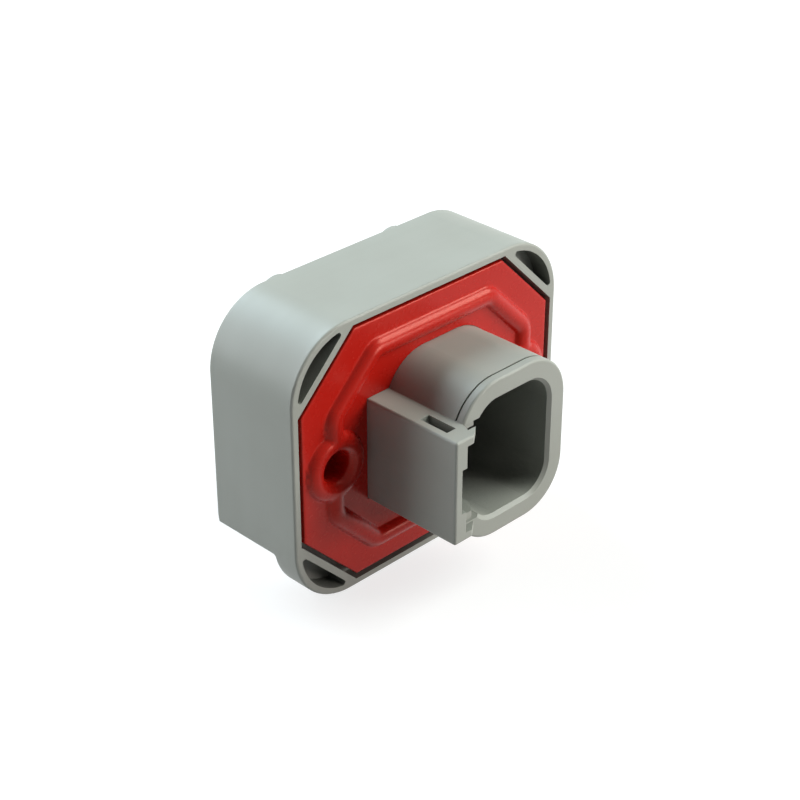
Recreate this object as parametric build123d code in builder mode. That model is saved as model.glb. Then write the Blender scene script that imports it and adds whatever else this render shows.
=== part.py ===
from build123d import *
import os

# Sealed four-way board header, in millimetres.
# The front faces -Y and +Z is up. The origin is on the flange's front face,
# midway between the two panel screws.

# Flange and the skirt behind it
flange_width = 41.8
flange_height = 34.2
flange_corner = 8.1
flange_depth = 3.6
body_depth = 13.1
skirt_wall = 1.8
board_seat_drop = 10.4
edge_round = 0.3
seat_round = 0.4

# Recess that the gasket lies in, and the four corner pockets
rim_wall = 0.85
recess_chamfer = 8.15
pocket_rib = 0.8
pocket_depth = 2.6
pocket_round = 0.35

# Gasket
gasket_thickness = 1.9
gasket_setback = 0.1
gasket_gap = 0.55
gasket_fit = 0.05
bead_offset = 0.4
bead_half_width = 14.9
bead_half_height = 12.45
bead_chamfer = 6.1
bead_corner = 2.2
bead_width = 2.6
bead_height = 0.8

# Panel screws, their collars in the gasket and their brass inserts
screw_spacing = 29.6
screw_hole_radius = 1.8
sleeve_wall = 1.3
sleeve_length = 3.0
collar_radius = 4.1
collar_height = 0.9
collar_bore_rise = 0.3
insert_length = 6.0
insert_bore_radius = 1.45
boss_wall = 1.3
boss_web = 1.4

# Barrel around the contacts
barrel_width = 17.1
barrel_height = 19.8
barrel_corner = 6.0
barrel_offset = 1.5
barrel_length = 11.1
barrel_wall = 2.55
mouth_chamfer = 0.4
groove_setback = 1.0
groove_width = 0.25
groove_depth = 0.25
cavity_depth = 16.1
floor_thickness = 1.6

# Latch box on the barrel's left side
box_left = 9.85
box_half_height = 6.45
box_length = 13.3
box_wall = 1.0
latch_wall = 1.7
tongue_relief = 0.72
tongue_half_width = 2.77
shelf_reach = 3.5
shelf_setback = 0.4
shelf_bevel_depth = 1.35
shelf_bevel_width = 1.0
lip_flat = 2.65
lip_reach = 4.1
lip_length = 1.15
lip_neck = 2.95
lip_lean = 0.55
rim_end_height = 6.35
window_inset = 0.95
window_width = 1.35
window_length = 4.0
window_setback = 2.3
window_sink = 0.8

# Contact pins
pin_pitch = 5.2
pin_radius = 0.785
pin_reach = 7.0
pin_nose = 0.5
press_radius = 0.95
shoulder_radius = 1.2
shoulder_length = 0.7
tail_radius = 0.6
tail_bend = 1.2
tail_pitch = 2.54
tail_start = 2.6
lead_radius = 0.5
lead_length = 3.2
lead_tip = 0.2

# Potting dam, potting and the plate that lines up the tails
dam_margin = 1.6
dam_wall = 1.0
dam_height = 1.4
potting_thickness = 1.3
cheek_gap = 13.2
cheek_wall = 1.2
cheek_height = 5.0
aligner_thickness = 1.2
aligner_lift = 0.3
aligner_fit = 0.05
tongue_depth = 0.5
tongue_length = 3.6
aligner_margin = 0.7

# Board screws and rear posts
board_screw_inset = 4.9
board_screw_setback = 5.0
board_insert_radius = 2.1
board_insert_bore_radius = 1.25
board_insert_length = 4.2
board_boss_wall = 0.9
board_boss_roof = 1.2
post_spacing = 18.1
post_height = 12.6
post_radius = 3.1
post_overhang = 2.55
post_bore_radius = 1.1
post_bore_depth = 8.0
post_rib = 1.2
insert_groove = 0.3
insert_lead = 0.3

# How far from a stated place an edge may lie to be picked
reach = 0.01

# Levels that follow from the sizes above
recess_depth = gasket_thickness + gasket_setback
recess_width = flange_width - 2 * rim_wall
recess_height = flange_height - 2 * rim_wall
sleeve_radius = screw_hole_radius + sleeve_wall
insert_start = recess_depth + sleeve_length
panel_boss_radius = sleeve_radius + boss_wall
cavity_floor = cavity_depth - barrel_length
block_back = cavity_floor + floor_thickness
box_inner = box_half_height - box_wall
channel_left = box_left - latch_wall
dam_half = pin_pitch / 2 + shoulder_radius + dam_margin
near_tails = block_back + tail_start
far_tails = near_tails + tail_pitch
pin_grid = [
    (barrel_offset + across * pin_pitch / 2, up * pin_pitch / 2) for up in (1, -1) for across in (-1, 1)
]
board_boss_radius = board_insert_radius + board_boss_wall
board_screw_spacing = flange_width - 2 * board_screw_inset
board_screw_depth = flange_depth + board_screw_setback
board_screws = [(side * board_screw_spacing / 2, board_screw_depth) for side in (-1, 1)]
posts = [(side * post_spacing / 2, post_height) for side in (-1, 1)]
aligner_front = near_tails - tail_radius - aligner_margin
aligner_level = aligner_lift - board_seat_drop


def plane_at(depth):
    """Plane that faces the front, a given depth behind the flange's front face."""
    return Plane.XZ.offset(-depth)


def octagon(width, height, corner):
    """Rectangle with its four corners cut at 45 degrees."""
    outline = Rectangle(width, height)
    chamfer(outline.vertices(), corner)


def barrel_outline(margin):
    """Outline of the barrel and the latch box together, grown by a margin."""
    with Locations((barrel_offset, 0)):
        RectangleRounded(barrel_width + 2 * margin, barrel_height + 2 * margin, barrel_corner + margin)
    with Locations((-box_left - margin, 0)):
        Rectangle(
            box_left + barrel_offset + margin,
            2 * (box_half_height + margin),
            align=(Align.MIN, Align.CENTER),
        )


# Housing: one moulding
with BuildPart() as housing:
    # flange and skirt, cut flat below for the board
    with BuildSketch(plane_at(0)):
        RectangleRounded(flange_width, flange_height, flange_corner)
    extrude(amount=-body_depth)
    fillet(housing.edges().group_by(Axis.Y)[0], edge_round)
    with BuildSketch(plane_at(flange_depth)):
        with Locations((0, -board_seat_drop)):
            Rectangle(flange_width, flange_height, align=(Align.CENTER, Align.MAX))
    extrude(amount=-(body_depth - flange_depth), mode=Mode.SUBTRACT)
    seat_edges = housing.edges().filter_by(Axis.X)
    seat_edges = seat_edges.filter_by_position(Axis.Y, flange_depth - reach, flange_depth + reach)
    seat_edges = seat_edges.filter_by_position(Axis.Z, -board_seat_drop - reach, -board_seat_drop + reach)
    fillet(seat_edges, seat_round)

    # hollow behind the flange
    with BuildSketch(plane_at(flange_depth)):
        RectangleRounded(
            flange_width - 2 * skirt_wall, flange_height - 2 * skirt_wall, flange_corner - skirt_wall
        )
        with Locations((0, -board_seat_drop - seat_round)):
            Rectangle(flange_width, flange_height, align=(Align.CENTER, Align.MAX), mode=Mode.SUBTRACT)
    extrude(amount=-body_depth, mode=Mode.SUBTRACT)

    # recess for the gasket
    with BuildSketch(plane_at(0)):
        octagon(recess_width, recess_height, recess_chamfer)
    extrude(amount=-recess_depth, mode=Mode.SUBTRACT)

    # four pockets between the round corners and the recess
    diagonal = (recess_width + recess_height) / 2 - recess_chamfer + pocket_rib * 2**0.5
    with BuildSketch(plane_at(0)) as pockets:
        RectangleRounded(recess_width, recess_height, flange_corner - rim_wall)
        Rectangle(diagonal * 2**0.5, diagonal * 2**0.5, rotation=45, mode=Mode.SUBTRACT)
        fillet(pockets.vertices(), pocket_round)
    extrude(amount=-pocket_depth, mode=Mode.SUBTRACT)

    # bosses for the panel inserts, and the webs that tie them to the skirt
    with BuildSketch(plane_at(flange_depth)):
        for side, outward in ((-1, Align.MAX), (1, Align.MIN)):
            with Locations((side * screw_spacing / 2, 0)):
                Circle(panel_boss_radius)
                Rectangle(
                    (flange_width - skirt_wall - screw_spacing) / 2,
                    boss_web,
                    align=(outward, Align.CENTER),
                )
    extrude(amount=-(insert_start + insert_length + boss_wall - flange_depth))

    # rear posts, each with a rib up to the skirt
    with BuildSketch(plane_at(flange_depth)):
        with Locations(*posts):
            Circle(post_radius)
    extrude(amount=-(body_depth + post_overhang - flange_depth))
    with BuildSketch(plane_at(flange_depth)):
        with Locations(*posts):
            Rectangle(
                post_rib,
                flange_height / 2 - post_height - skirt_wall / 2,
                align=(Align.CENTER, Align.MIN),
            )
    extrude(amount=-(body_depth - flange_depth))

    # bosses for the board inserts, on the board's plane and tied to the skirt
    with BuildSketch(Plane.XY.offset(-board_seat_drop)):
        for side, outward in ((-1, Align.MAX), (1, Align.MIN)):
            with Locations((side * board_screw_spacing / 2, board_screw_depth)):
                Circle(board_boss_radius)
                Rectangle(
                    (flange_width - skirt_wall - board_screw_spacing) / 2,
                    boss_web,
                    align=(outward, Align.CENTER),
                )
    extrude(amount=board_insert_length + board_boss_roof)

    # barrel, closed at the back
    with BuildSketch(plane_at(-barrel_length)):
        with Locations((barrel_offset, 0)):
            RectangleRounded(barrel_width, barrel_height, barrel_corner)
    extrude(amount=-(barrel_length + block_back))
    fillet(housing.edges().group_by(Axis.Y)[0], edge_round)
    with BuildSketch(plane_at(groove_setback - barrel_length)):
        with Locations((barrel_offset, 0)):
            RectangleRounded(barrel_width, barrel_height, barrel_corner)
            RectangleRounded(
                barrel_width - 2 * groove_depth,
                barrel_height - 2 * groove_depth,
                barrel_corner - groove_depth,
                mode=Mode.SUBTRACT,
            )
    extrude(amount=-groove_width, mode=Mode.SUBTRACT)

    # gap in the rim where the latch box joins
    with BuildSketch(plane_at(-barrel_length)):
        with Locations((barrel_offset, 0)):
            Rectangle(barrel_width, 2 * rim_end_height, align=(Align.MAX, Align.CENTER))
    extrude(amount=-shelf_setback, mode=Mode.SUBTRACT)

    # latch box, whose hooked lips stand in front of the barrel's rim
    lip_back = lip_length - box_length
    shelf_front = shelf_setback - barrel_length
    with BuildSketch(Plane.XY.offset(-box_half_height)):
        with BuildLine():
            Polyline(
                (-box_left, block_back),
                (-box_left, -box_length),
                (lip_flat - box_left, -box_length),
                (lip_reach - box_left, lip_back),
                (lip_neck - box_left, lip_back),
                (lip_neck - box_left + lip_lean, shelf_front),
                (barrel_offset, shelf_front),
                (barrel_offset, block_back),
                close=True,
            )
        make_face()
    extrude(amount=2 * box_half_height)
    box_edges = housing.edges().filter_by(Axis.Y)
    fillet(box_edges.filter_by_position(Axis.X, -box_left - reach, -box_left + reach), edge_round)
    fillet(housing.faces().sort_by(Axis.Y)[0].edges(), edge_round)

    # cavity: the barrel's inside, the channel of the latch box and the relief for the latch's tongue
    with BuildSketch(plane_at(-box_length)):
        with Locations((barrel_offset, 0)):
            RectangleRounded(
                barrel_width - 2 * barrel_wall,
                barrel_height - 2 * barrel_wall,
                barrel_corner - barrel_wall,
            )
        with Locations((-shelf_reach, 0)):
            Rectangle(box_left, barrel_height, align=(Align.MAX, Align.CENTER), mode=Mode.SUBTRACT)
        with Locations((-channel_left, 0)):
            Rectangle(channel_left + barrel_offset, 2 * box_inner, align=(Align.MIN, Align.CENTER))
        with Locations((-channel_left - tongue_relief, 0)):
            Rectangle(channel_left, 2 * tongue_half_width, align=(Align.MIN, Align.CENTER))
    extrude(amount=-(box_length + cavity_floor), mode=Mode.SUBTRACT)

    # bevel on the mouth's inner edge, and on the front corner of the shelves beside the channel
    with BuildSketch(plane_at(-barrel_length)):
        with Locations((barrel_offset, 0)):
            RectangleRounded(
                barrel_width - 2 * (barrel_wall - mouth_chamfer),
                barrel_height - 2 * (barrel_wall - mouth_chamfer),
                barrel_corner - barrel_wall + mouth_chamfer,
            )
    extrude(amount=-mouth_chamfer, taper=45, mode=Mode.SUBTRACT)
    with BuildSketch(Plane.XY.offset(-rim_end_height)):
        with BuildLine():
            Polyline(
                (-shelf_reach, shelf_front),
                (-shelf_reach - shelf_bevel_width, shelf_front),
                (-shelf_reach, shelf_front + shelf_bevel_depth),
                close=True,
            )
        make_face()
    extrude(amount=2 * rim_end_height, mode=Mode.SUBTRACT)

    # windows that the latch catches in, in the box's top and bottom walls
    window_x = window_inset - box_left + window_width / 2
    window_y = window_setback - box_length + window_length / 2
    window_z = box_half_height - (box_wall + window_sink) / 2
    with Locations((window_x, window_y, window_z), (window_x, window_y, -window_z)):
        Box(window_width, window_length, box_wall + window_sink, mode=Mode.SUBTRACT)

    # holes for the pins through the cavity's floor, with seats for their shoulders
    with BuildSketch(plane_at(cavity_floor)):
        with Locations(*pin_grid):
            Circle(press_radius)
    extrude(amount=-floor_thickness, mode=Mode.SUBTRACT)
    with BuildSketch(plane_at(block_back - shoulder_length)):
        with Locations(*pin_grid):
            Circle(shoulder_radius)
    extrude(amount=-shoulder_length, mode=Mode.SUBTRACT)

    # dam around the pins that holds the potting
    with BuildSketch(plane_at(block_back)):
        with Locations((barrel_offset, 0)):
            Rectangle(2 * (dam_half + dam_wall), 2 * (dam_half + dam_wall))
            Rectangle(2 * dam_half, 2 * dam_half, mode=Mode.SUBTRACT)
    extrude(amount=-dam_height)

    # cheeks beside the tails, grooved for the plate that lines them up
    with BuildSketch(plane_at(block_back)):
        for side in (-1, 1):
            with Locations((barrel_offset + side * (cheek_gap + cheek_wall) / 2, -board_seat_drop)):
                Rectangle(cheek_wall, board_seat_drop + cheek_height, align=(Align.CENTER, Align.MIN))
    extrude(amount=-(body_depth - block_back))
    with BuildSketch(plane_at(aligner_front - aligner_fit)):
        with Locations((barrel_offset, aligner_level - aligner_fit)):
            Rectangle(
                cheek_gap + 2 * (tongue_depth + aligner_fit),
                aligner_thickness + 2 * aligner_fit,
                align=(Align.CENTER, Align.MIN),
            )
    extrude(amount=-body_depth, mode=Mode.SUBTRACT)

    # bores of the screw bosses and the rear posts
    with BuildSketch(plane_at(recess_depth)):
        with GridLocations(screw_spacing, 0, 2, 1):
            Circle(sleeve_radius)
    extrude(amount=-(sleeve_length + insert_length), mode=Mode.SUBTRACT)
    with BuildSketch(Plane.XY.offset(-board_seat_drop)):
        with Locations(*board_screws):
            Circle(board_insert_radius)
    extrude(amount=board_insert_length, mode=Mode.SUBTRACT)
    with BuildSketch(plane_at(body_depth + post_overhang)):
        with Locations(*posts):
            Circle(post_bore_radius)
    extrude(amount=post_bore_depth, mode=Mode.SUBTRACT)

# Gasket: one silicone moulding
with BuildPart() as panel_gasket:
    # plate that fills the recess and hugs the barrel and the latch box
    with BuildSketch(plane_at(gasket_setback)):
        octagon(
            recess_width - 2 * gasket_gap,
            recess_height - 2 * gasket_gap,
            recess_chamfer - gasket_gap * (2 - 2**0.5),
        )
        with BuildSketch(mode=Mode.SUBTRACT):
            barrel_outline(gasket_fit)
    extrude(amount=-gasket_thickness)

    # round bead, the right half and its mirror image
    bead_plane = plane_at(gasket_setback).move(Location((bead_offset, 0, 0)))
    for side in (-1, 1):
        with BuildLine(bead_plane) as bead_line:
            FilletPolyline(
                (0, bead_half_height),
                (side * (bead_half_width - bead_chamfer), bead_half_height),
                (side * bead_half_width, bead_half_height - bead_chamfer),
                (side * bead_half_width, bead_chamfer - bead_half_height),
                (side * (bead_half_width - bead_chamfer), -bead_half_height),
                (0, -bead_half_height),
                radius=bead_corner,
            )
        bead_start = Plane(
            origin=(bead_offset, gasket_setback, bead_half_height),
            x_dir=(0, 0, side),
            z_dir=(side, 0, 0),
        )
        with BuildSketch(bead_start):
            with BuildLine():
                ThreePointArc((-bead_width / 2, 0), (0, bead_height), (bead_width / 2, 0))
                Line((bead_width / 2, 0), (-bead_width / 2, 0))
            make_face()
        sweep(path=bead_line.line)

    # collars around the panel screws, with sleeves that line their holes
    with BuildSketch(plane_at(-bead_height)):
        with GridLocations(screw_spacing, 0, 2, 1):
            Circle(sleeve_radius)
    extrude(amount=-(bead_height + recess_depth), mode=Mode.SUBTRACT)
    for side in (-1, 1):
        centre = side * screw_spacing / 2
        inner = centre + screw_hole_radius
        outer = centre + collar_radius
        with BuildSketch(Plane.XY):
            with BuildLine():
                crest = ThreePointArc(
                    (inner, gasket_setback - collar_bore_rise),
                    ((inner + outer) / 2, gasket_setback - collar_height),
                    (outer, gasket_setback),
                )
                Polyline(
                    crest @ 1,
                    (centre + sleeve_radius, gasket_setback),
                    (centre + sleeve_radius, insert_start),
                    (inner, insert_start),
                    crest @ 0,
                )
            make_face()
        revolve(axis=Axis((centre, 0, 0), (0, 1, 0)))
panel_gasket.part.label = "panel_gasket"


def threaded_insert(mouth, radius, bore_radius, length):
    """Brass bush with a groove round its middle, whose mouth lies on the given plane."""
    with BuildPart() as insert:
        with BuildSketch(mouth):
            Circle(radius)
        extrude(amount=-length)
        with BuildSketch(mouth.offset((insert_groove - length) / 2)):
            Circle(radius)
            Circle(radius - insert_groove, mode=Mode.SUBTRACT)
        extrude(amount=-insert_groove, mode=Mode.SUBTRACT)
        with BuildSketch(mouth):
            Circle(bore_radius)
        extrude(amount=-length, mode=Mode.SUBTRACT)
        rims = insert.edges().filter_by(GeomType.CIRCLE)
        chamfer(rims.filter_by(lambda rim: abs(rim.radius - bore_radius) < reach), insert_lead)
    return insert


# Inserts: two for the panel screws, two for the board screws
inserts = {}
for name, side in (("left", -1), ("right", 1)):
    panel_mouth = plane_at(insert_start).move(Location((side * screw_spacing / 2, 0, 0)))
    board_mouth = Plane(
        origin=(side * board_screw_spacing / 2, board_screw_depth, -board_seat_drop), z_dir=(0, 0, -1)
    )
    inserts[f"panel_insert_{name}"] = threaded_insert(
        panel_mouth, sleeve_radius, insert_bore_radius, insert_length
    )
    inserts[f"board_insert_{name}"] = threaded_insert(
        board_mouth, board_insert_radius, board_insert_bore_radius, board_insert_length
    )

# Contact pins: pressed into the floor up to a shoulder, with a tail that turns down to the board
pins = {}
for number, (across, up) in enumerate(pin_grid, start=1):
    tail_y = far_tails if up > 0 else near_tails
    with BuildPart() as pin:
        with BuildSketch(plane_at(cavity_floor - pin_reach)):
            with Locations((across, up)):
                Circle(pin_radius)
        extrude(amount=-pin_reach)
        fillet(pin.edges().sort_by(Axis.Y)[0], pin_nose)
        with BuildSketch(plane_at(cavity_floor)):
            with Locations((across, up)):
                Circle(press_radius)
        extrude(amount=-(floor_thickness - shoulder_length))
        with BuildSketch(plane_at(block_back - shoulder_length)):
            with Locations((across, up)):
                Circle(shoulder_radius)
        extrude(amount=-shoulder_length)
        with BuildLine() as tail_line:
            FilletPolyline(
                (across, block_back, up),
                (across, tail_y, up),
                (across, tail_y, -board_seat_drop),
                radius=tail_bend,
            )
        with BuildSketch(Plane(origin=(across, block_back, up), z_dir=(0, 1, 0))):
            Circle(tail_radius)
        sweep(path=tail_line.line)
        with BuildSketch(Plane.XY.offset(-board_seat_drop)):
            with Locations((across, tail_y)):
                Circle(lead_radius)
        extrude(amount=-lead_length)
        chamfer(pin.edges().sort_by(Axis.Z)[0], lead_tip)
    pins[f"contact_pin_{number}"] = pin

# Potting: the compound that fills the dam around the pins
with BuildPart() as pin_potting:
    with BuildSketch(plane_at(block_back)):
        with Locations((barrel_offset, 0)):
            Rectangle(2 * dam_half, 2 * dam_half)
        with Locations(*pin_grid):
            Circle(tail_radius, mode=Mode.SUBTRACT)
    extrude(amount=-potting_thickness)
pin_potting.part.label = "pin_potting"

# Tail aligner: a plate that slides between the cheeks and holds the solder tails in place
with BuildPart() as tail_aligner:
    with BuildSketch(Plane.XY.offset(aligner_level)):
        with Locations((barrel_offset, aligner_front)):
            Rectangle(
                cheek_gap - 2 * aligner_fit,
                far_tails + tail_radius + aligner_margin - aligner_front,
                align=(Align.CENTER, Align.MIN),
            )
            Rectangle(
                cheek_gap + 2 * (tongue_depth - aligner_fit),
                tongue_length,
                align=(Align.CENTER, Align.MIN),
            )
        with Locations(*[(across, far_tails if up > 0 else near_tails) for across, up in pin_grid]):
            Circle(tail_radius + aligner_fit, mode=Mode.SUBTRACT)
    extrude(amount=aligner_thickness)
tail_aligner.part.label = "tail_aligner"

os.makedirs("parts", exist_ok=True)
housing.part.label = "housing"
export_step(housing.part, "parts/housing.step")
export_step(panel_gasket.part, "parts/panel_gasket.step")
for name, piece in {**inserts, **pins}.items():
    piece.part.label = name
    export_step(piece.part, f"parts/{name}.step")
export_step(pin_potting.part, "parts/pin_potting.step")
export_step(tail_aligner.part, "parts/tail_aligner.step")
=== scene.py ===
import bpy
import math
import numpy as np
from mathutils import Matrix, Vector


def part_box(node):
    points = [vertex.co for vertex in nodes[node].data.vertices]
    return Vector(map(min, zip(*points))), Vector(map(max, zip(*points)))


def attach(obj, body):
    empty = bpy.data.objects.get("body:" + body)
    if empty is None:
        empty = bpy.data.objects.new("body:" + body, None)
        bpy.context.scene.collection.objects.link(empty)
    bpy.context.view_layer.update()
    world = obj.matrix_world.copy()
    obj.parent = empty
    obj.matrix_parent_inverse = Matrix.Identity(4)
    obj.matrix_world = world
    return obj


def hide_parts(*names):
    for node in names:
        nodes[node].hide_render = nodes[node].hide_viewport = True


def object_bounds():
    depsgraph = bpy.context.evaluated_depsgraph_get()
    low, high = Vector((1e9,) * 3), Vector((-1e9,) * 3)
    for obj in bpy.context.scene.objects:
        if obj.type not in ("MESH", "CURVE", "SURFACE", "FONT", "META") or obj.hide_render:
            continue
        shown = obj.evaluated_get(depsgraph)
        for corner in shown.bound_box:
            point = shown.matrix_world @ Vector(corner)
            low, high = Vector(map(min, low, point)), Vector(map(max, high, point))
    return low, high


# Sealed four-way board header: grey moulded housing, red silicone gasket, brass inserts, tinned pins.
# Lengths in the dictionaries are millimetres; mm turns them into the scene's metres.
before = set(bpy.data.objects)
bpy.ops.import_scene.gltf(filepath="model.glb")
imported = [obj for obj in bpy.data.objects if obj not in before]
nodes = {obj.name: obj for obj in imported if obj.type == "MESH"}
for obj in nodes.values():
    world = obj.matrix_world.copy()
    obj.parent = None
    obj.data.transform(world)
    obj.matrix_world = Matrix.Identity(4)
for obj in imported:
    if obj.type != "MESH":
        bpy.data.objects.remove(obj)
cadLow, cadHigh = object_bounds()
mm = 0.001
fullTurn = 2 * math.pi
tiny = 1e-6
print("frame loaded, nodes:", len(nodes))


# Camera at the photograph's viewing angle
cameraSettings = {
    "place": (-133.2, -128.3, 109.1),
    "azimuth": -45.0,  # degrees, 0 looks along +Y
    "elevation": 30.0,
    "lens": 85.27,
    "sensor": 36.0,
    "clip": (10.0, 20000.0),
}


def makeCamera(settings):
    turn = math.radians(settings["azimuth"])
    lift = math.radians(settings["elevation"])
    back = Vector((math.sin(turn) * math.cos(lift), -math.cos(turn) * math.cos(lift), math.sin(lift)))
    data = bpy.data.cameras.new("photoCamera")
    data.lens = settings["lens"]
    data.sensor_width = settings["sensor"]
    data.clip_start, data.clip_end = (distance * mm for distance in settings["clip"])
    camera = bpy.data.objects.new("photoCamera", data)
    camera.location = Vector(settings["place"]) * mm
    camera.rotation_mode = "QUATERNION"
    camera.rotation_quaternion = (-back).to_track_quat("-Z", "Y")
    bpy.context.scene.collection.objects.link(camera)
    bpy.context.scene.camera = camera


makeCamera(cameraSettings)
bpy.context.scene.view_settings.view_transform = "Standard"
print("camera placed")


# Node helpers
def addNode(tree, kind, values=None, **settings):
    node = tree.nodes.new(kind)
    for key, value in settings.items():
        setattr(node, key, value)
    for key, value in (values or {}).items():
        node.inputs[key].default_value = value
    return node


def mathNode(tree, operation, first, second, clamp=False):
    # one Math node; each operand is a number or another node's socket
    node = addNode(tree, "ShaderNodeMath", operation=operation, use_clamp=clamp)
    for slot, operand in enumerate((first, second)):
        if isinstance(operand, (int, float)):
            node.inputs[slot].default_value = operand
        else:
            tree.links.new(operand, node.inputs[slot])
    return node.outputs[0]


def noiseNode(tree, vector, scale, detail=2.0, roughness=0.5):
    node = addNode(tree, "ShaderNodeTexNoise", {"Scale": scale, "Detail": detail, "Roughness": roughness})
    tree.links.new(vector, node.inputs["Vector"])
    return node.outputs["Fac"]


def spread(tree, value, low, high, toLow=0.0, toHigh=1.0):
    # value from low..high brought to toLow..toHigh, held at both ends
    node = addNode(tree, "ShaderNodeMapRange", {1: low, 2: high, 3: toLow, 4: toHigh})
    tree.links.new(value, node.inputs[0])
    return node.outputs[0]


def mixColour(tree, factor, first, second):
    # blend of two colours; each is a colour or another node's socket
    node = addNode(tree, "ShaderNodeMix", data_type="RGBA")
    tree.links.new(factor, node.inputs["Factor"])
    for slot, colour in ((6, first), (7, second)):  # the node's two colour sockets
        if isinstance(colour, tuple):
            node.inputs[slot].default_value = (*colour, 1.0)
        else:
            tree.links.new(colour, node.inputs[slot])
    return node.outputs[2]


edgeFinder = {"flat": 0.995, "sharp": 0.90, "samples": 4}  # cosines between the true and the averaged normal


def edgeMask(tree, radius):
    # how far the normal turns when it is averaged over a small radius: 0 on faces, 1 on edges
    bevel = addNode(tree, "ShaderNodeBevel", {"Radius": radius}, samples=edgeFinder["samples"])
    geometry = addNode(tree, "ShaderNodeNewGeometry")
    dot = addNode(tree, "ShaderNodeVectorMath", operation="DOT_PRODUCT")
    tree.links.new(bevel.outputs[0], dot.inputs[0])
    tree.links.new(geometry.outputs["Normal"], dot.inputs[1])
    return spread(tree, dot.outputs["Value"], edgeFinder["flat"], edgeFinder["sharp"])


def startMaterial(name):
    material = bpy.data.materials.new(name)
    material.use_nodes = True
    tree = material.node_tree
    shader = tree.nodes["Principled BSDF"]
    place = addNode(tree, "ShaderNodeTexCoord").outputs["Object"]
    return material, tree, shader, place


def stretched(tree, vector, scale):
    node = addNode(tree, "ShaderNodeMapping", {"Scale": scale})
    tree.links.new(vector, node.inputs["Vector"])
    return node.outputs[0]


def addBump(tree, shader, height, distance, strength):
    bump = addNode(tree, "ShaderNodeBump", {"Strength": strength, "Distance": distance})
    tree.links.new(height, bump.inputs["Height"])
    tree.links.new(bump.outputs[0], shader.inputs["Normal"])


# Finishes. Colours are linear, scales are cycles per metre and bump heights are millimetres. A pair called
# Range holds the noise values that are spread out to the pattern's least and most.
housingFinish = {
    "colour": (0.345, 0.352, 0.318),
    "colourDeep": (0.318, 0.323, 0.288),
    "colourEdgeWearAndHighlight": (0.450, 0.458, 0.420),
    # painted shade: the dark colour that the housing's deep recesses turn towards, and how far, how deep and
    # how finely it is found
    "colourPaintedShade": (0.060, 0.062, 0.055),
    "paintedShadeReach": 30.0,  # how far a wall counts as closing a recess in
    "recessLimit": 0.50,  # openness below which the recess darkens
    "paintedShadeStrength": 0.90,
    "paintedShadeSamples": 8,
    "cloudScale": 70.0,
    "cloudRange": (0.35, 0.65),
    "flowScale": (30.0, 420.0, 30.0),
    "flowRange": (0.35, 0.65),
    "grainScale": 7500.0,
    "grainRange": (0.40, 0.75),
    "grainShade": 0.25,
    "grainHeight": 0.006,
    "grainStrength": 0.35,
    "edgeRadius": 0.14,
    "edgeWearAndHighlight": (0.25, 0.70),  # least and most of the edge colour, by the clouds
    "edgeGloss": 0.06,
    "roughness": (0.40, 0.50),
    "specular": 0.42,
}


def makeHousingPlastic(settings):
    material, tree, shader, place = startMaterial("housingPlastic")
    clouds = noiseNode(tree, place, settings["cloudScale"], detail=3.0)
    clouds = spread(tree, clouds, *settings["cloudRange"])
    flow = noiseNode(tree, stretched(tree, place, settings["flowScale"]), 1.0, detail=3.0)
    grain = noiseNode(tree, place, settings["grainScale"], roughness=0.6)
    edge = edgeMask(tree, settings["edgeRadius"] * mm)
    # painted highlight together with wear: the edges turn towards a paler colour, more or less by the clouds
    wornAndLitEdge = mathNode(tree, "MULTIPLY", edge, spread(tree, clouds, 0.0, 1.0, *settings["edgeWearAndHighlight"]))
    grainShade = spread(tree, grain, *settings["grainRange"], 0.0, settings["grainShade"])
    colour = mixColour(tree, clouds, settings["colourDeep"], settings["colour"])
    colour = mixColour(tree, grainShade, colour, settings["colourDeep"])
    colour = mixColour(tree, wornAndLitEdge, colour, settings["colourEdgeWearAndHighlight"])
    # painted shade: the colour of the mouth and the pockets darkens inwards where walls close them in; only
    # the housing itself counts as a wall
    openness = addNode(
        tree,
        "ShaderNodeAmbientOcclusion",
        {"Distance": settings["paintedShadeReach"] * mm},
        samples=settings["paintedShadeSamples"],
        only_local=True,
    )
    # painted shade: the less open a point is, the more its colour turns dark
    recess = spread(tree, openness.outputs["AO"], 0.0, settings["recessLimit"], settings["paintedShadeStrength"], 0.0)
    colour = mixColour(tree, recess, colour, settings["colourPaintedShade"])
    tree.links.new(colour, shader.inputs["Base Color"])
    shader.inputs["Specular IOR Level"].default_value = settings["specular"]
    dull = spread(tree, flow, *settings["flowRange"], *settings["roughness"])
    polish = mathNode(tree, "MULTIPLY", edge, settings["edgeGloss"])
    tree.links.new(mathNode(tree, "SUBTRACT", dull, polish), shader.inputs["Roughness"])
    addBump(tree, shader, grain, settings["grainHeight"] * mm, settings["grainStrength"])
    return material


gasketFinish = {
    "colour": (0.465, 0.011, 0.006),
    "colourDeep": (0.445, 0.008, 0.004),
    "colourPale": (0.520, 0.036, 0.026),
    "colourShine": (1.0, 0.42, 0.33),
    "cloudScale": 110.0,
    "cloudRange": (0.35, 0.65),
    "dustScale": 5200.0,
    "dustRange": (0.62, 0.80),
    "dustShare": 0.05,
    "peelScale": 900.0,
    "peelRange": (0.3, 0.7),
    "peelHeight": 0.002,
    "peelStrength": 0.30,
    "edgeRadius": 0.20,
    "edgeHighlightShare": 0.35,
    "roughness": (0.26, 0.28),
    "specular": 0.38,
}


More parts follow.
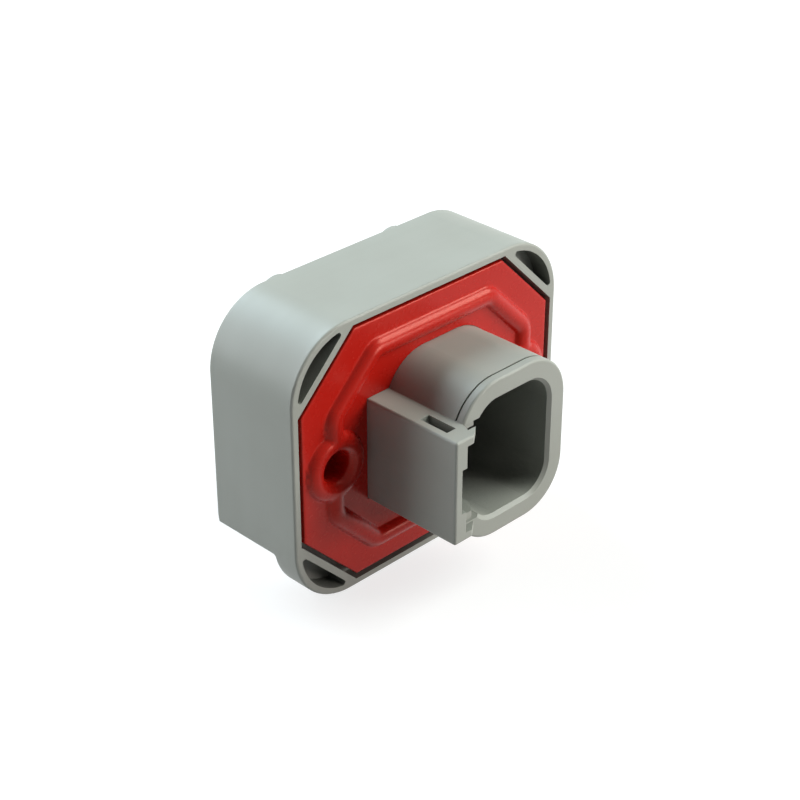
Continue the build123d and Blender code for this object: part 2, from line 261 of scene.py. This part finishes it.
def makeGasketSilicone(settings):
    material, tree, shader, place = startMaterial("gasketSilicone")
    clouds = noiseNode(tree, place, settings["cloudScale"], detail=3.0)
    clouds = spread(tree, clouds, *settings["cloudRange"])
    dust = noiseNode(tree, place, settings["dustScale"], roughness=0.7)
    dust = spread(tree, dust, *settings["dustRange"], 0.0, settings["dustShare"])
    peel = noiseNode(tree, place, settings["peelScale"])
    # painted highlight: the edges turn towards the pale colour by their share; the dust specks are the
    # silicone's own
    edge = mathNode(tree, "MULTIPLY", edgeMask(tree, settings["edgeRadius"] * mm), settings["edgeHighlightShare"])
    colour = mixColour(tree, clouds, settings["colourDeep"], settings["colour"])
    colour = mixColour(tree, mathNode(tree, "ADD", dust, edge, clamp=True), colour, settings["colourPale"])
    tree.links.new(colour, shader.inputs["Base Color"])
    shader.inputs["Specular IOR Level"].default_value = settings["specular"]
    shader.inputs["Specular Tint"].default_value = (*settings["colourShine"], 1.0)
    dull = spread(tree, peel, *settings["peelRange"], *settings["roughness"])
    tree.links.new(dull, shader.inputs["Roughness"])
    addBump(tree, shader, peel, settings["peelHeight"] * mm, settings["peelStrength"])
    return material


pinFinish = {
    "colour": (0.700, 0.680, 0.630),
    "colourDull": (0.520, 0.500, 0.455),
    "drawScale": (9000.0, 260.0, 9000.0),
    "drawHeight": 0.004,
    "drawStrength": 0.3,
    "spotScale": 900.0,
    "spotRange": (0.45, 0.70),
    "roughness": (0.18, 0.36),
}


def makeTinnedMetal(settings):
    material, tree, shader, place = startMaterial("tinnedPin")
    drawn = noiseNode(tree, stretched(tree, place, settings["drawScale"]), 1.0, detail=3.0)
    spots = noiseNode(tree, place, settings["spotScale"], detail=3.0)
    spots = spread(tree, spots, *settings["spotRange"])
    colour = mixColour(tree, spots, settings["colour"], settings["colourDull"])
    tree.links.new(colour, shader.inputs["Base Color"])
    dull = spread(tree, spots, 0.0, 1.0, *settings["roughness"])
    tree.links.new(dull, shader.inputs["Roughness"])
    shader.inputs["Metallic"].default_value = 1.0
    addBump(tree, shader, drawn, settings["drawHeight"] * mm, settings["drawStrength"])
    return material


brassFinish = {
    "colour": (0.780, 0.560, 0.230),
    "colourDull": (0.560, 0.380, 0.150),
    "turnScale": (6.0, 900.0, 1.0),  # cycles round the insert and per patternLength of its section
    "turnRange": (0.3, 0.7),
    "turnHeight": 0.005,
    "turnStrength": 0.3,
    "spotScale": 1400.0,
    "spotRange": (0.42, 0.72),
    "roughness": (0.22, 0.38),
}


def makeTurnedBrass(settings):
    material, tree, shader, place = startMaterial("turnedBrass")
    surface = addNode(tree, "ShaderNodeUVMap", uv_map="turned").outputs[0]
    rings = noiseNode(tree, stretched(tree, surface, settings["turnScale"]), 1.0)
    spots = noiseNode(tree, place, settings["spotScale"], detail=3.0)
    spots = spread(tree, spots, *settings["spotRange"])
    colour = mixColour(tree, spots, settings["colour"], settings["colourDull"])
    tree.links.new(colour, shader.inputs["Base Color"])
    dull = spread(tree, rings, *settings["turnRange"], *settings["roughness"])
    tree.links.new(dull, shader.inputs["Roughness"])
    shader.inputs["Metallic"].default_value = 1.0
    addBump(tree, shader, rings, settings["turnHeight"] * mm, settings["turnStrength"])
    return material


resinFinish = {
    "colour": (0.020, 0.021, 0.024),
    "colourPale": (0.060, 0.062, 0.066),
    "waveScale": 380.0,
    "waveRange": (0.3, 0.7),
    "waveHeight": 0.05,
    "waveStrength": 0.5,
    "bubbleScale": 1600.0,
    "bubbleRange": (0.12, 0.22),  # distance from a bubble's middle, in cells
    "bubbleDent": 0.4,
    "roughness": (0.12, 0.30),
}


def makePottingResin(settings):
    material, tree, shader, place = startMaterial("pottingResin")
    waves = noiseNode(tree, place, settings["waveScale"])
    cells = addNode(tree, "ShaderNodeTexVoronoi", {"Scale": settings["bubbleScale"]})
    tree.links.new(place, cells.inputs["Vector"])
    bubbles = spread(tree, cells.outputs["Distance"], *settings["bubbleRange"], 1.0, 0.0)
    colour = mixColour(tree, bubbles, settings["colour"], settings["colourPale"])
    tree.links.new(colour, shader.inputs["Base Color"])
    dull = spread(tree, waves, *settings["waveRange"], *settings["roughness"])
    tree.links.new(dull, shader.inputs["Roughness"])
    dents = mathNode(tree, "MULTIPLY", bubbles, settings["bubbleDent"])
    height = mathNode(tree, "SUBTRACT", waves, dents)
    addBump(tree, shader, height, settings["waveHeight"] * mm, settings["waveStrength"])
    return material


alignerFinish = {
    "colour": (0.030, 0.030, 0.031),
    "colourPale": (0.060, 0.060, 0.060),
    "grainScale": 6000.0,
    "grainRange": (0.5, 0.8),
    "grainShare": 0.5,
    "grainHeight": 0.010,
    "grainStrength": 0.4,
    "glossRange": (0.3, 0.7),
    "edgeRadius": 0.10,
    "edgeHighlightShare": 0.8,
    "roughness": (0.48, 0.62),
}


def makeAlignerPlastic(settings):
    material, tree, shader, place = startMaterial("alignerPlastic")
    grain = noiseNode(tree, place, settings["grainScale"], roughness=0.6)
    # painted highlight: the edges turn towards the pale colour by their share; the grain's specks are the
    # plastic's own
    edge = mathNode(tree, "MULTIPLY", edgeMask(tree, settings["edgeRadius"] * mm), settings["edgeHighlightShare"])
    specks = spread(tree, grain, *settings["grainRange"], 0.0, settings["grainShare"])
    specksAndEdgeHighlight = mathNode(tree, "ADD", edge, specks, clamp=True)
    colour = mixColour(tree, specksAndEdgeHighlight, settings["colour"], settings["colourPale"])
    tree.links.new(colour, shader.inputs["Base Color"])
    dull = spread(tree, grain, *settings["glossRange"], *settings["roughness"])
    tree.links.new(dull, shader.inputs["Roughness"])
    addBump(tree, shader, grain, settings["grainHeight"] * mm, settings["grainStrength"])
    return material


housingPlastic = makeHousingPlastic(housingFinish)
gasketSilicone = makeGasketSilicone(gasketFinish)
tinnedPin = makeTinnedMetal(pinFinish)
turnedBrass = makeTurnedBrass(brassFinish)
pottingResin = makePottingResin(resinFinish)
alignerPlastic = makeAlignerPlastic(alignerFinish)


def dress(names, material):
    for name in names:
        mesh = nodes[name].data
        mesh.materials.clear()
        mesh.materials.append(material)


dress(["housing"], housingPlastic)
dress([f"contact_pin_{number}" for number in (1, 2, 3, 4)], tinnedPin)
dress(["pin_potting"], pottingResin)
dress(["tail_aligner"], alignerPlastic)
print("materials made")


# Mesh helpers
def evenSteps(count, end=1.0):
    # count even steps on the way from 0, which is left out, to end, which is the last
    return np.linspace(0, end, count + 1)[1:]


def gridQuads(rows, columns, wrapRows):
    # Points are numbered row by row. A cell's quad takes the point, the next in its row, and the same two of
    # the next row backwards; after the last column comes the first, and so for the rows where they wrap.
    row = np.arange(rows if wrapRows else rows - 1)
    row, column = (side.ravel() for side in np.meshgrid(row, np.arange(columns), indexing="ij"))
    rowNext = (row + 1) % rows
    columnNext = (column + 1) % columns
    corners = ((row, column), (row, columnNext), (rowNext, columnNext), (rowNext, column))
    return np.stack([cornerRow * columns + cornerColumn for cornerRow, cornerColumn in corners], axis=1)


def addPiece(name, points, quads, material, sharpAngle, uv=None):
    # Points in metres. Each quad a b c d adds (a x b) . c + (a x c) . d, and the sum is six times the volume
    # of the closed surface; where that is negative, the quads face inwards and are turned round.
    a, b, c, d = (points[quads[:, corner]] for corner in range(4))
    volume = (np.cross(a, b) * c).sum() + (np.cross(a, c) * d).sum()
    if volume < 0:
        quads = quads[:, ::-1]
    mesh = bpy.data.meshes.new(name)
    mesh.from_pydata(points.tolist(), [], quads.tolist())
    if uv is not None:
        layer = mesh.uv_layers.new(name="turned")
        layer.data.foreach_set("uv", uv[quads.ravel()].astype(np.float32).ravel())
    mesh.polygons.foreach_set("use_smooth", np.ones(len(quads), dtype=bool))
    mesh.set_sharp_from_angle(angle=math.radians(sharpAngle))
    mesh.materials.append(material)
    mesh.update()
    piece = bpy.data.objects.new(name, mesh)
    bpy.context.scene.collection.objects.link(piece)
    return piece


# Gasket: one skin over the plate, the bead, the two collars and their sleeves
gasketShape = {
    "setback": 0.1,  # plate's front behind the flange's front
    "thickness": 1.9,
    "plateChamfer": 7.83,
    "plateRound": 0.18,
    "beadOffset": 0.25,
    "beadWidth": 15.15,  # half sizes of the bead's line
    "beadHeight": 12.22,
    "beadChamfer": 6.1,
    "beadCorner": 2.0,
    "beadRise": 0.90,
    "beadFlank": 1.30,  # from the crest to the foot
    "beadShare": 0.92,  # crest arc's share of a flank
    "screwPlace": 14.8,
    "crestRadius": 3.0,
    "collarRise": 0.90,
    "collarFlank": 1.30,
    "collarShare": 0.92,
    "joinBlend": 0.35,
    "joinFade": 0.2,  # height over which a fillet starts on the plate and ends below the crest
    "boreRadius": 1.8,
    "lipDepth": 0.30,  # where the lip ends, behind the plate's front
    "sleeveRadius": 3.1,
    "sleeveEnd": 5.0,
    "barrelWidth": 17.1,
    "barrelHeight": 19.8,
    "barrelCorner": 6.0,
    "barrelOffset": 1.5,
    "boxLeft": 9.85,
    "boxHalf": 6.45,
    "barrelFit": 0.05,
    "sharpAngle": 50,
    "angleStep": 0.85,  # degrees between rays, at most
    "bandRows": (16, 16, 16, 10),  # barrel to foot, foot to crest, crest to foot, foot to rim
    "edgeRows": 4,
    "collarReach": 18.5,  # degrees to each side of a screw that its own patch covers
    "collarMargin": 2,  # rows that the ring keeps at the barrel and at the rim
    "collarRows": {"foot": 12, "crest": 14, "lip": 11, "bore": 7, "sleeve": 5, "back": 6},
    "footShare": 0.2,  # least part of the way to the patch's side that is left outside the foot
}


def octagonCorners(halfWidth, halfHeight, chamfer):
    # corners of a rectangle whose corners are cut off at 45 degrees: on each side of the rectangle, the two
    # points that lie the chamfer short of its ends; anticlockwise from the bottom side
    x, z, c = halfWidth, halfHeight, chamfer
    right = [(x, c - z), (x, z - c), (x - c, z)]
    left = [(c - x, z), (-x, z - c), (-x, c - z)]
    return np.array([(x - c, -z), *right, *left, (c - x, -z)])


def polygonDistance(x, z, corners):
    # Distance to the nearest edge: each point is dropped onto the edge's line, held between the edge's ends.
    # It is negative inside, where the point is on the inner side of every edge of the convex outline.
    nearest = np.full(np.shape(x), np.inf)
    inside = np.full(np.shape(x), -np.inf)
    for start, end in zip(corners, np.roll(corners, -1, axis=0)):
        alongX, alongZ = end - start
        length = np.hypot(alongX, alongZ)
        fromX, fromZ = x - start[0], z - start[1]
        part = np.clip((fromX * alongX + fromZ * alongZ) / length**2, 0.0, 1.0)
        nearest = np.minimum(nearest, np.hypot(fromX - part * alongX, fromZ - part * alongZ))
        inside = np.maximum(inside, (fromX * alongZ - fromZ * alongX) / length)
    return np.where(inside < 0, -nearest, nearest)


def ridgeHeight(offset, half, rise, share):
    # Ridge of two arcs that both turn by twice the angle whose tangent is rise / half: a crest arc, whose
    # radius is its share of half / sin(turn), then a hollow arc with the rest, level where it meets the foot.
    turn = 2 * math.atan2(rise, half)
    crest = share * half / math.sin(turn)
    hollow = half / math.sin(turn) - crest
    away = np.abs(offset)
    top = rise - crest + np.sqrt(np.maximum(crest**2 - away**2, 0.0))
    foot = hollow - np.sqrt(np.maximum(hollow**2 - (half - away) ** 2, 0.0))
    return np.where(away < crest * math.sin(turn), top, np.where(away < half, foot, 0.0))


def joinRidges(first, second, blend, limit, fade):
    # The higher of two ridges, plus a fillet of (blend - gap) squared over four blends where the gap between
    # them is less than blend. It fades out where either ridge nears the plate or the higher one the limit.
    low, high = np.minimum(first, second), np.maximum(first, second)
    fillet = np.maximum(blend - (high - low), 0.0) ** 2 / (4 * blend)
    return high + fillet * np.clip(low / fade, 0.0, 1.0) * np.clip((limit - high) / fade, 0.0, 1.0)


def rayRadius(distance, angle, level=0.0, reach=40.0, halvings=34):
    # How far out along each ray from the centre an outline's distance passes the level: the stretch from 0 to
    # reach is halved again and again towards the crossing, and the middle of what is left is taken.
    near, far = np.zeros_like(angle), np.full_like(angle, reach)
    for _ in range(halvings):
        middle = (near + far) / 2
        outside = distance(middle * np.cos(angle), middle * np.sin(angle)) > level
        near, far = np.where(outside, near, middle), np.where(outside, middle, far)
    return (near + far) / 2


def gasketOutlines(shape):
    # Distances to the plate's edge, the bead's line and the barrel's wall. A rounded outline is drawn in by
    # its corner radius, and the radius is taken off the distance to what is left. Of barrel and latch box the
    # smaller distance counts. The corners are those that the rays have to meet.
    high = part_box("panel_gasket")[1]
    plate = octagonCorners(high.x / mm, high.z / mm, shape["plateChamfer"])
    beadRound, barrelRound = shape["beadCorner"], shape["barrelCorner"]
    beadChamfer = shape["beadChamfer"] - beadRound * (2 - 2**0.5)
    bead = octagonCorners(shape["beadWidth"] - beadRound, shape["beadHeight"] - beadRound, beadChamfer)
    barrelX = shape["barrelWidth"] / 2 - barrelRound
    barrelZ = shape["barrelHeight"] / 2 - barrelRound
    barrel = octagonCorners(barrelX, barrelZ, tiny)  # as good as a rectangle
    boxX, boxZ = shape["boxLeft"], shape["boxHalf"]
    box = np.array([(0, -boxZ), (0, boxZ), (-boxX, boxZ), (-boxX, -boxZ)])
    joinX = shape["barrelOffset"] - barrelX - math.sqrt(barrelRound**2 - (boxZ - barrelZ) ** 2)
    corners = [*plate, (-boxX, boxZ), (-boxX, -boxZ), (joinX, boxZ), (joinX, -boxZ)]

    def plateDistance(x, z):
        return polygonDistance(x, z, plate)

    def beadDistance(x, z):
        return polygonDistance(x - shape["beadOffset"], z, bead) - beadRound

    def barrelDistance(x, z):
        wall = polygonDistance(x - shape["barrelOffset"], z, barrel) - barrelRound
        return np.minimum(wall, polygonDistance(x, z, box)) - shape["barrelFit"]

    return plateDistance, beadDistance, barrelDistance, corners


def rayAngles(shape, corners):
    # even steps, at most angleStep wide, between the angles of all corners and of the collar patches' sides
    reach = math.radians(shape["collarReach"])
    marked = [math.atan2(z, x) for x, z in corners]
    marked += [reach, -reach, math.pi - reach, math.pi + reach]
    marked = np.unique(np.round(np.mod(marked, fullTurn), 9))
    step = math.radians(shape["angleStep"])
    steps = []
    for start, end in zip(marked, np.append(marked[1:], marked[0] + fullTurn)):
        steps.append(np.linspace(start, end, max(2, math.ceil((end - start) / step)), endpoint=False))
    return np.concatenate(steps)


def frontHeight(shape, beadDistance, x, z):
    # A ridge along the bead's line and one round each collar's crest, joined to each other. A collar's offset
    # is the distance from its screw less the crest's radius, and 0 within that radius.
    bead = ridgeHeight(beadDistance(x, z), shape["beadFlank"], shape["beadRise"], shape["beadShare"])
    fromCrest = np.maximum(np.hypot(np.abs(x) - shape["screwPlace"], z) - shape["crestRadius"], 0.0)
    collar = ridgeHeight(fromCrest, shape["collarFlank"], shape["collarRise"], shape["collarShare"])
    return joinRidges(bead, collar, shape["joinBlend"], shape["collarRise"], shape["joinFade"])


def gasketRing(shape, angle, plateDistance, beadDistance, barrelDistance):
    # The plate's section along every ray, as rows of points: the front in even steps between the barrel's
    # wall, the bead's inner foot, crest and outer foot, and the rim; the edge as a quarter circle; then the
    # back, with the front's radii in reverse. A point is at its radius times the ray's cosine and sine.
    edgeRound, edgeRows = shape["plateRound"], shape["edgeRows"]
    lines = [rayRadius(barrelDistance, angle)]
    lines += [rayRadius(beadDistance, angle, shape["beadFlank"] * side) for side in (-1, 0, 1)]
    lines.append(rayRadius(plateDistance, angle, -edgeRound))
    front = [lines[0][None]]
    for before, after, count in zip(lines, lines[1:], shape["bandRows"]):
        front.append(before + evenSteps(count)[:, None] * (after - before))
    front = np.concatenate(front)
    frontRows = len(front)
    arc = evenSteps(edgeRows, math.pi / 2)
    edge = np.array([rayRadius(plateDistance, angle, edgeRound * (math.sin(turn) - 1)) for turn in arc])
    radius = np.concatenate([front, edge, edge[-1:], front[::-1]])
    x, z = radius * np.cos(angle), radius * np.sin(angle)
    depth = np.full_like(radius, shape["setback"] + shape["thickness"])
    depth[:frontRows] = shape["setback"] - frontHeight(shape, beadDistance, x[:frontRows], z[:frontRows])
    depth[frontRows:frontRows + edgeRows] = (shape["setback"] + edgeRound * (1 - np.cos(arc)))[:, None]
    return np.stack([x, depth, z], axis=-1), frontRows


def collarLoop(near, firstRow, lastRow):
    # rows and columns of the ring's points round a rectangle of cells: along its first row, up the last
    # column, back along its last row and down the first column
    up = np.arange(firstRow, lastRow)
    across = len(near) - 1
    row = np.concatenate([np.full(across, firstRow), up, np.full(across, lastRow), up[::-1] + 1])
    column = np.concatenate([near[:-1], np.full(len(up), near[-1]), near[:0:-1], np.full(len(up), near[0])])
    return row, column


def collarPatch(shape, beadDistance, start, screwX):
    # Rows of points from the loop round a collar towards its screw, each on the straight line from its loop
    # point to the screw: the front to the ridge's foot and on to its crest, the lip as a quarter ellipse from
    # crest to bore, the bore, the sleeve's end and outside, and the back out to the loop again.
    rows = shape["collarRows"]
    crestRadius, boreRadius, sleeveRadius = shape["crestRadius"], shape["boreRadius"], shape["sleeveRadius"]
    backDepth = shape["setback"] + shape["thickness"]
    reachX, reachZ = start[:, 0] - screwX, start[:, 2]
    far = np.hypot(reachX, reachZ)
    directionX, directionZ = reachX / far, reachZ / far
    footLimit = far - shape["footShare"] * (far - crestRadius)
    footRadius = np.minimum(crestRadius + shape["collarFlank"], footLimit)
    outerRadius = far + evenSteps(rows["foot"])[:, None] * (footRadius - far)
    innerRadius = footRadius + evenSteps(rows["crest"])[:, None] * (crestRadius - footRadius)
    slopeRadius = np.concatenate([outerRadius, innerRadius])
    slopeX, slopeZ = screwX + slopeRadius * directionX, slopeRadius * directionZ
    slopeDepth = shape["setback"] - frontHeight(shape, beadDistance, slopeX, slopeZ)
    lip = evenSteps(rows["lip"], math.pi / 2)[:, None]
    lipEnd = shape["setback"] + shape["lipDepth"]
    lipRadius = crestRadius - (crestRadius - boreRadius) * np.sin(lip) + 0 * far
    lipDepth = lipEnd + (slopeDepth[-1] - lipEnd) * np.cos(lip)
    boreDepth = np.linspace(lipEnd, shape["sleeveEnd"], rows["bore"] + 1)[1:]
    sleeveDepth = np.linspace(shape["sleeveEnd"], backDepth, rows["sleeve"])
    tubeRadius = np.repeat([boreRadius, sleeveRadius], [rows["bore"], rows["sleeve"]])[:, None] + 0 * far
    tubeDepth = np.concatenate([boreDepth, sleeveDepth])[:, None] + 0 * far
    backRadius = sleeveRadius + evenSteps(rows["back"] + 1)[:-1, None] * (far - sleeveRadius)
    radius = np.concatenate([slopeRadius, lipRadius, tubeRadius, backRadius])
    depth = np.concatenate([slopeDepth, lipDepth, tubeDepth, np.full_like(backRadius, backDepth)])
    return np.stack([screwX + radius * directionX, depth, radius * directionZ], axis=-1)


def makeGasket(shape):
    # the ring's surface, wrapped both ways, in which a patch takes the place of the cells round each screw
    plateDistance, beadDistance, barrelDistance, corners = gasketOutlines(shape)
    angle = rayAngles(shape, corners)
    ring, frontRows = gasketRing(shape, angle, plateDistance, beadDistance, barrelDistance)
    rows, columns = ring.shape[:2]
    ring = ring.reshape(-1, 3)
    quads = gridQuads(rows, columns, wrapRows=True)
    quadRow, quadColumn = quads[:, 0] // columns, quads[:, 0] % columns
    firstRow, lastRow = shape["collarMargin"], frontRows - 1 - shape["collarMargin"]
    backFirst, backLast = rows - 1 - lastRow, rows - 1 - firstRow
    cellRows = (quadRow >= firstRow) & (quadRow < lastRow) | (quadRow >= backFirst) & (quadRow < backLast)
    kept = np.ones(len(quads), dtype=bool)
    pointSets, quadSets, total = [ring], [], len(ring)
    reach = math.radians(shape["collarReach"])
    for centre in (0.0, math.pi):  # the right screw, the left screw
        turn = np.mod(np.mod(angle, fullTurn) - centre + math.pi, fullTurn) - math.pi
        near = np.where(np.abs(turn) <= reach + tiny)[0]
        near = near[np.argsort(turn[near])]
        kept &= ~(np.isin(quadColumn, near[:-1]) & cellRows)
        loopRow, loopColumn = collarLoop(near, firstRow, lastRow)
        frontLoop = loopRow * columns + loopColumn
        backLoop = (rows - 1 - loopRow) * columns + loopColumn
        patch = collarPatch(shape, beadDistance, ring[frontLoop], shape["screwPlace"] * math.cos(centre))
        patchRows, around = patch.shape[:2]
        pointSets.append(patch.reshape(-1, 3))
        inside = total + np.arange(patchRows * around).reshape(patchRows, around)
        index = np.concatenate([frontLoop[None], inside, backLoop[None]])
        quadSets.append(index.ravel()[gridQuads(patchRows + 2, around, wrapRows=False)])
        total += patchRows * around

    # points that no face uses any more are left out
    points = np.concatenate(pointSets) * mm
    faces = np.concatenate([quads[kept], *quadSets])
    used = np.unique(faces)
    renumber = np.zeros(len(points), dtype=int)
    renumber[used] = np.arange(len(used))
    piece = addPiece("gasketSkin", points[used], renumber[faces], gasketSilicone, shape["sharpAngle"])
    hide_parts("panel_gasket")
    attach(piece, "root")
    return piece


gasketSkin = makeGasket(gasketShape)
print("gasket made, quads:", len(gasketSkin.data.polygons))


# Threaded brass inserts: two for the panel screws, two for the board screws
insertShape = {
    "lead": 0.3,  # chamfer at both ends of the bore
    "threadTop": 1.25,  # the groove's depth is top less slope times the pitches from its middle, 0 to 1
    "threadSlope": 2.5,
    "threadFade": 0.5,  # pitches over which the thread runs out
    "groove": 0.3,  # ring round the outside
    "grooveMargin": 0.05,
    "knurlTwist": 3.0,  # radians per millimetre
    "rowsPerPitch": 12,
    "outerRows": 40,
    "columns": 96,
    "sharpAngle": 40,
    "patternLength": 10,  # depth plus radius that make one unit of the pattern's map
}
panelInsert = {
    **insertShape,
    "mouthAxis": (0, -1, 0),
    "boreRadius": 1.45,
    "pitch": 0.6,
    "threadDepth": 0.30,
    "knurls": 36,
    "knurlDepth": 0.10,
}
boardInsert = {
    **insertShape,
    "mouthAxis": (0, 0, -1),
    "boreRadius": 1.25,
    "pitch": 0.5,
    "threadDepth": 0.25,
    "knurls": 26,
    "knurlDepth": 0.08,
}


def makeInsert(name, shape):
    # A section turned round the axis. The bore's radius gains the thread's depth times a trapezoid of the
    # phase, which is depth / pitch less angle / full turn, so the groove winds as a helix. The outside loses
    # the knurls' depth times 1 less the product of two sines that wind opposite ways, and a ring half way.
    low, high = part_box(name)
    axis, sideways = np.array(shape["mouthAxis"]), np.array((1.0, 0.0, 0.0))
    across = np.cross(axis, sideways)
    length = abs((high - low).dot(Vector(axis))) / mm
    radius = (high.x - low.x) / (2 * mm)
    mouth = np.array((low + high) / 2) / mm + axis * length / 2
    lead, pitch, boreRadius = shape["lead"], shape["pitch"], shape["boreRadius"]
    boreRows, outerRows = int(length / pitch * shape["rowsPerPitch"]), shape["outerRows"]
    boreDepth = np.linspace(lead, length - lead, boreRows)
    depth = np.concatenate([[0.0], boreDepth, [length], np.linspace(length, 0, outerRows)])
    chamfer, bore = [boreRadius + lead], np.full(boreRows, boreRadius)
    base = np.concatenate([chamfer, bore, chamfer, np.full(outerRows, radius)])
    angle = np.linspace(0, fullTurn, shape["columns"], endpoint=False)
    depthGrid, angleGrid = np.meshgrid(depth, angle, indexing="ij")

    row = np.arange(len(depth))
    firstOuter = boreRows + 2
    isBore = (row >= 1) & (row <= boreRows)
    isKnurl = (row > firstOuter) & (depth > lead) & (depth < length - lead)
    inGroove = isKnurl & (np.abs(depth - length / 2) < shape["groove"] / 2 + shape["grooveMargin"])
    phase = np.mod(depthGrid / pitch - angleGrid / fullTurn, 1.0)
    fade = np.minimum(depthGrid - lead, length - lead - depthGrid) / (shape["threadFade"] * pitch)
    profile = np.clip(shape["threadTop"] - shape["threadSlope"] * np.abs(phase - 0.5), 0, 1)
    swing = shape["threadDepth"] * profile * np.clip(fade, 0, 1)
    halfTurns, twist = shape["knurls"] * angleGrid / 2, shape["knurlTwist"] * depthGrid
    diamonds = np.abs(np.sin(halfTurns + twist)) * np.abs(np.sin(halfTurns - twist))
    reach = base[:, None] + np.where(isBore[:, None], swing, 0.0)
    reach = reach - np.where(isKnurl[:, None], shape["knurlDepth"] * (1 - diamonds), 0.0)
    reach = np.where(inGroove[:, None], radius - shape["groove"], reach)[..., None]

    spoke = np.cos(angleGrid)[..., None] * sideways + np.sin(angleGrid)[..., None] * across
    points = (mouth - depthGrid[..., None] * axis + reach * spoke).reshape(-1, 3) * mm
    quads = gridQuads(len(depth), len(angle), wrapRows=True)
    along = (depthGrid + reach[..., 0]) / shape["patternLength"]
    uv = np.stack([angleGrid / fullTurn, along], axis=-1).reshape(-1, 2)
    piece = addPiece(name + "_threaded", points, quads, turnedBrass, shape["sharpAngle"], uv)
    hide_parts(name)
    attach(piece, "root")


for side in ("left", "right"):
    makeInsert(f"panel_insert_{side}", panelInsert)
    makeInsert(f"board_insert_{side}", boardInsert)
print("inserts made")


# Floor, white to the camera and a soft grey to the light, and the white world round it
stageSettings = {
    "floorSize": 3000.0,
    "floorColour": (0.30, 0.30, 0.30),
    "floorLift": 0.76,  # how much of its white the camera sees without light
    "skyColour": (0.80, 0.90, 1.00),
    "skyStrength": 0.03,
    "white": (1.0, 1.0, 1.0, 1.0),
}


def seenRay(tree):
    # 1 for rays that come from the camera, a mirror or through glass
    path = addNode(tree, "ShaderNodeLightPath")
    seen = mathNode(tree, "MAXIMUM", path.outputs["Is Camera Ray"], path.outputs["Is Glossy Ray"])
    return mathNode(tree, "MAXIMUM", seen, path.outputs["Is Transmission Ray"])


def makeFloor(settings):
    # its paper adds a glow, which only seen rays meet, to a plain matte
    half = settings["floorSize"] / 2 * mm
    level = cadLow.z
    corners = [(-half, -half, level), (half, -half, level), (half, half, level), (-half, half, level)]
    mesh = bpy.data.meshes.new("floor")
    mesh.from_pydata(corners, [], [(0, 1, 2, 3)])
    floor = bpy.data.objects.new("floor", mesh)
    bpy.context.scene.collection.objects.link(floor)
    material = bpy.data.materials.new("floorPaper")
    material.use_nodes = True
    tree = material.node_tree
    tree.nodes.clear()
    output = addNode(tree, "ShaderNodeOutputMaterial")
    matte = addNode(tree, "ShaderNodeBsdfDiffuse", {"Color": (*settings["floorColour"], 1.0)})
    glow = addNode(tree, "ShaderNodeEmission", {"Color": settings["white"]})
    both = addNode(tree, "ShaderNodeAddShader")
    lift = mathNode(tree, "MULTIPLY", seenRay(tree), settings["floorLift"])
    tree.links.new(lift, glow.inputs["Strength"])
    tree.links.new(matte.outputs[0], both.inputs[0])
    tree.links.new(glow.outputs[0], both.inputs[1])
    tree.links.new(both.outputs[0], output.inputs["Surface"])
    mesh.materials.append(material)


def makeWorld(settings):
    # white to seen rays, a faint sky to the rest
    world = bpy.data.worlds.new("studioWorld")
    bpy.context.scene.world = world
    world.use_nodes = True
    tree = world.node_tree
    tree.nodes.clear()
    output = addNode(tree, "ShaderNodeOutputWorld")
    skyValues = {"Color": (*settings["skyColour"], 1.0), "Strength": settings["skyStrength"]}
    sky = addNode(tree, "ShaderNodeBackground", skyValues)
    white = addNode(tree, "ShaderNodeBackground", {"Color": settings["white"], "Strength": 1.0})
    choice = addNode(tree, "ShaderNodeMixShader")
    tree.links.new(seenRay(tree), choice.inputs[0])
    tree.links.new(sky.outputs[0], choice.inputs[1])
    tree.links.new(white.outputs[0], choice.inputs[2])
    tree.links.new(choice.outputs[0], output.inputs["Surface"])


makeFloor(stageSettings)
makeWorld(stageSettings)

# Lamps: direction from the object, distance and size in millimetres, power in watts
lamps = {
    "keyLamp": {
        "towards": (0.450, -0.885, 0.120),
        "distance": 450.0,
        "size": 170.0,
        "power": 0.98,
        "colour": (1.0, 0.94, 0.91),
    },
    "sideLamp": {
        "towards": (0.615, -0.430, 0.660),
        "distance": 450.0,
        "size": 290.0,
        "power": 2.05,
        "colour": (0.94, 1.0, 0.95),
    },
    "backLamp": {
        "towards": (0.0, 0.766, 0.643),
        "distance": 450.0,
        "size": 300.0,
        "power": 2.0,
        "colour": (0.76, 0.92, 1.0),
    },
    "leftLamp": {
        "towards": (-0.590, 0.705, 0.392),
        "distance": 450.0,
        "size": 420.0,
        "power": 1.66,
        "colour": (0.92, 0.97, 1.0),
    },
}


def makeLamp(name, settings):
    data = bpy.data.lights.new(name, "AREA")
    data.shape = "DISK"
    data.size = settings["size"] * mm
    data.energy = settings["power"]
    data.color = settings["colour"]
    lamp = bpy.data.objects.new(name, data)
    direction = Vector(settings["towards"]).normalized()
    lamp.location = direction * settings["distance"] * mm
    lamp.rotation_mode = "QUATERNION"
    lamp.rotation_quaternion = direction.to_track_quat("Z", "Y")
    bpy.context.scene.collection.objects.link(lamp)


for name, settings in lamps.items():
    makeLamp(name, settings)
print("stage and lamps made")
